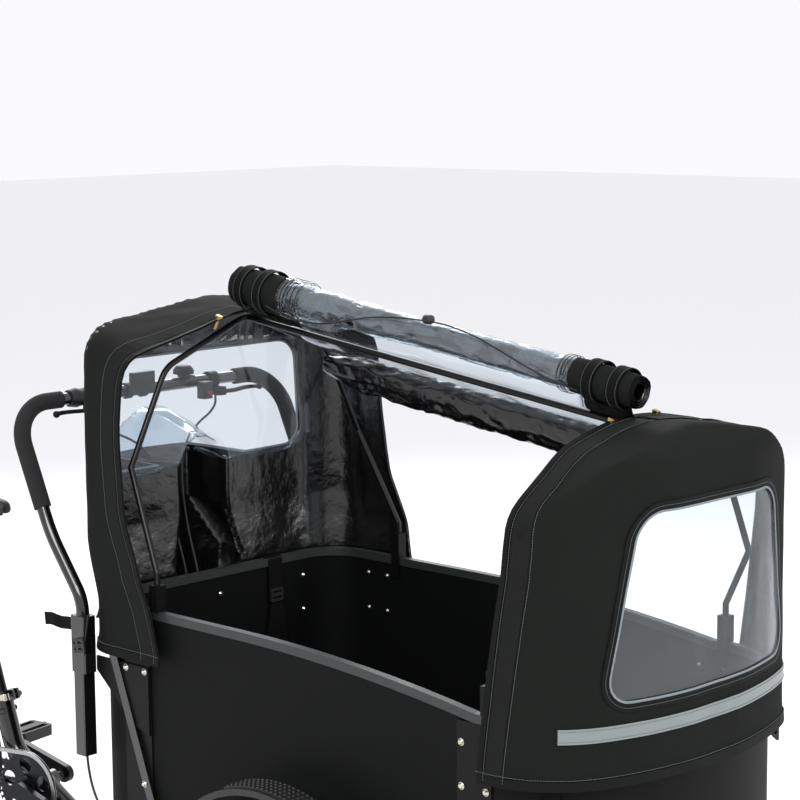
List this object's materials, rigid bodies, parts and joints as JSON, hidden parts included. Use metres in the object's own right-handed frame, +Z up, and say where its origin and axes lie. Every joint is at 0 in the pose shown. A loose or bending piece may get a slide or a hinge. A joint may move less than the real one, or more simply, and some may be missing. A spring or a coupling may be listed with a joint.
{
  "type": "cargo bicycle",
  "caption": "Three-wheeled box cargo bicycle with a child bench, rolled-up rain tent, U handlebar and a steering rear frame.",
  "frame": {"origin": "on the ground under the middle of the bounding box", "axes": "+X forward along the cargo box, +Y to the rider's left, +Z up; the rear frame is parked turned 10 degrees about its kingpin"},
  "size_m": [2.4144, 0.874, 1.4209],
  "materials": {
    "panel_board": "matte textured film",
    "grey_trim": "satin",
    "black_metal": "satin black",
    "gloss_black_metal": "gloss black",
    "stainless": "polished",
    "zinc_steel": "satin",
    "foam": "matte foam",
    "tent_cloth": "woven, coated inside",
    "clear_film": "flexible clear film",
    "webbing": "woven",
    "black_plastic": "matte",
    "red_plastic": "gloss",
    "tyre": "matte",
    "rim": "anodised black",
    "hub": "satin",
    "saddle_cover": "satin",
    "pole": "satin black",
    "bench_board": "matte",
    "elastic": "braided",
    "cable": "satin",
    "crank_alloy": "satin"
  },
  "bodies": {
    "cargo_box": {"side_panel_right": "panel_board", "side_panel_left": "panel_board", "rear_panel": "panel_board", "front_panel": "panel_board", "box_floor": "panel_board", "edge_trim": "grey_trim", "corner_plates": "black_metal", "side_braces": "gloss_black_metal", "panel_bolts": "stainless", "underframe": "black_metal", "kingpin": "zinc_steel", "stub_axles": "zinc_steel", "child_bench": "bench_board", "seat_belts": "webbing", "handlebar": "gloss_black_metal", "foam_grips": "foam", "handlebar_posts": "gloss_black_metal", "lever_mounts": "black_metal", "control_housings": "black_plastic", "bell": "black_metal", "display_unit": "black_plastic", "control_cables": "cable", "tent_poles": "pole", "rear_hood": "tent_cloth", "front_hood": "tent_cloth", "hood_windows": "clear_film", "door_roll_right": "tent_cloth", "door_roll_left": "tent_cloth", "tent_straps": "webbing", "strap_buckles": "black_plastic", "roll_elastic": "elastic", "cord_lock": "black_plastic", "front_mudguards": "black_plastic", "mudguard_stays": "stainless", "brake_callipers": "black_metal"},
    "rear_frame": {"rear_frame": "gloss_black_metal", "rear_axle": "zinc_steel", "rear_mudguard": "black_plastic", "chain": "zinc_steel"},
    "front_wheel_right": {"front_tyre_right": "tyre", "front_rim_right": "rim", "front_hub_right": "hub"},
    "front_wheel_left": {"front_tyre_left": "tyre", "front_rim_left": "rim", "front_hub_left": "hub"},
    "rear_wheel": {"rear_tyre": "tyre", "rear_rim": "rim", "rear_hub": "hub"},
    "sprocket": {"rear_sprocket": "zinc_steel"},
    "crank": {"crankset": "crank_alloy"},
    "pedal_right": {"pedal_right": "black_plastic"},
    "pedal_left": {"pedal_left": "black_plastic"},
    "seat": {"seat_post": "pole", "saddle": "saddle_cover"},
    "quick_lever": {"quick_lever": "stainless"},
    "brake_lever_right": {"brake_lever_right": "black_metal"},
    "brake_lever_left": {"brake_lever_left": "black_metal"},
    "parking_button": {"parking_button": "red_plastic"},
    "bell_striker": {"bell_striker": "black_plastic"},
    "twist_shifter": {"twist_shifter": "black_plastic"}
  },
  "joints": [
    {"name": "steer", "type": "hinge", "parent": "cargo_box", "child": "rear_frame", "pos_m": [0.3799, 0, 0.189], "axis": [0, 0, 1], "range_deg": [-45, 25]},
    {"name": "front_wheel_right_spin", "type": "hinge", "parent": "cargo_box", "child": "front_wheel_right", "pos_m": [0.5449, -0.405, 0.255], "axis": [0, 1, 0], "continuous": true},
    {"name": "front_wheel_left_spin", "type": "hinge", "parent": "cargo_box", "child": "front_wheel_left", "pos_m": [0.5449, 0.405, 0.255], "axis": [0, 1, 0], "continuous": true},
    {"name": "rear_wheel_spin", "type": "hinge", "parent": "rear_frame", "child": "rear_wheel", "pos_m": [-0.88065, -0.22227, 0.305], "axis": [-0.1736, 0.9848, 0], "continuous": true},
    {"name": "crank_spin", "type": "hinge", "parent": "rear_frame", "child": "crank", "pos_m": [-0.45719, -0.1476, 0.285], "axis": [-0.1736, 0.9848, 0], "continuous": true},
    {"name": "sprocket_spin", "type": "hinge", "parent": "rear_frame", "child": "sprocket", "pos_m": [-0.87232, -0.26954, 0.305], "axis": [-0.1736, 0.9848, 0], "continuous": true},
    {"name": "pedal_right_spin", "type": "hinge", "parent": "crank", "child": "pedal_right", "pos_m": [-0.27504, -0.24952, 0.23247], "axis": [-0.1736, 0.9848, 0], "continuous": true},
    {"name": "pedal_left_spin", "type": "hinge", "parent": "crank", "child": "pedal_left", "pos_m": [-0.63933, -0.04568, 0.33753], "axis": [-0.1736, 0.9848, 0], "continuous": true},
    {"name": "seat_height", "type": "slide", "parent": "rear_frame", "child": "seat", "axis": [-0.2755, -0.0486, 0.9601], "range_m": [-0.045, 0.045]},
    {"name": "seat_quick_lever", "type": "hinge", "parent": "rear_frame", "child": "quick_lever", "pos_m": [-0.52553, -0.18504, 0.46759], "axis": [-0.2755, -0.0486, 0.9601], "range_deg": [0, 100]},
    {"name": "brake_lever_right_pull", "type": "hinge", "parent": "cargo_box", "child": "brake_lever_right", "pos_m": [-0.2081, -0.168, 1.123], "axis": [0, 0, -1], "range_deg": [0, 14], "stiffness_Nm_per_rad": 0.8},
    {"name": "brake_lever_left_pull", "type": "hinge", "parent": "cargo_box", "child": "brake_lever_left", "pos_m": [-0.2081, 0.168, 1.123], "axis": [0, 0, 1], "range_deg": [0, 14], "stiffness_Nm_per_rad": 0.8},
    {"name": "parking_button_press", "type": "slide", "parent": "cargo_box", "child": "parking_button", "axis": [-1, 0, 0], "range_m": [0, 0.004], "stiffness_N_per_m": 300},
    {"name": "bell_strike", "type": "hinge", "parent": "cargo_box", "child": "bell_striker", "pos_m": [-0.2251, 0.092, 1.162], "axis": [0, 0, 1], "range_deg": [-9, 9], "stiffness_Nm_per_rad": 0.05},
    {"name": "twist_grip_turn", "type": "hinge", "parent": "cargo_box", "child": "twist_shifter", "pos_m": [-0.2421, -0.214, 1.145], "axis": [0, 1, 0], "range_deg": [-60, 60]}
  ],
  "couplings": [
    {"joint": "sprocket_spin", "follows": "crank_spin", "ratio": 2}
  ]
}
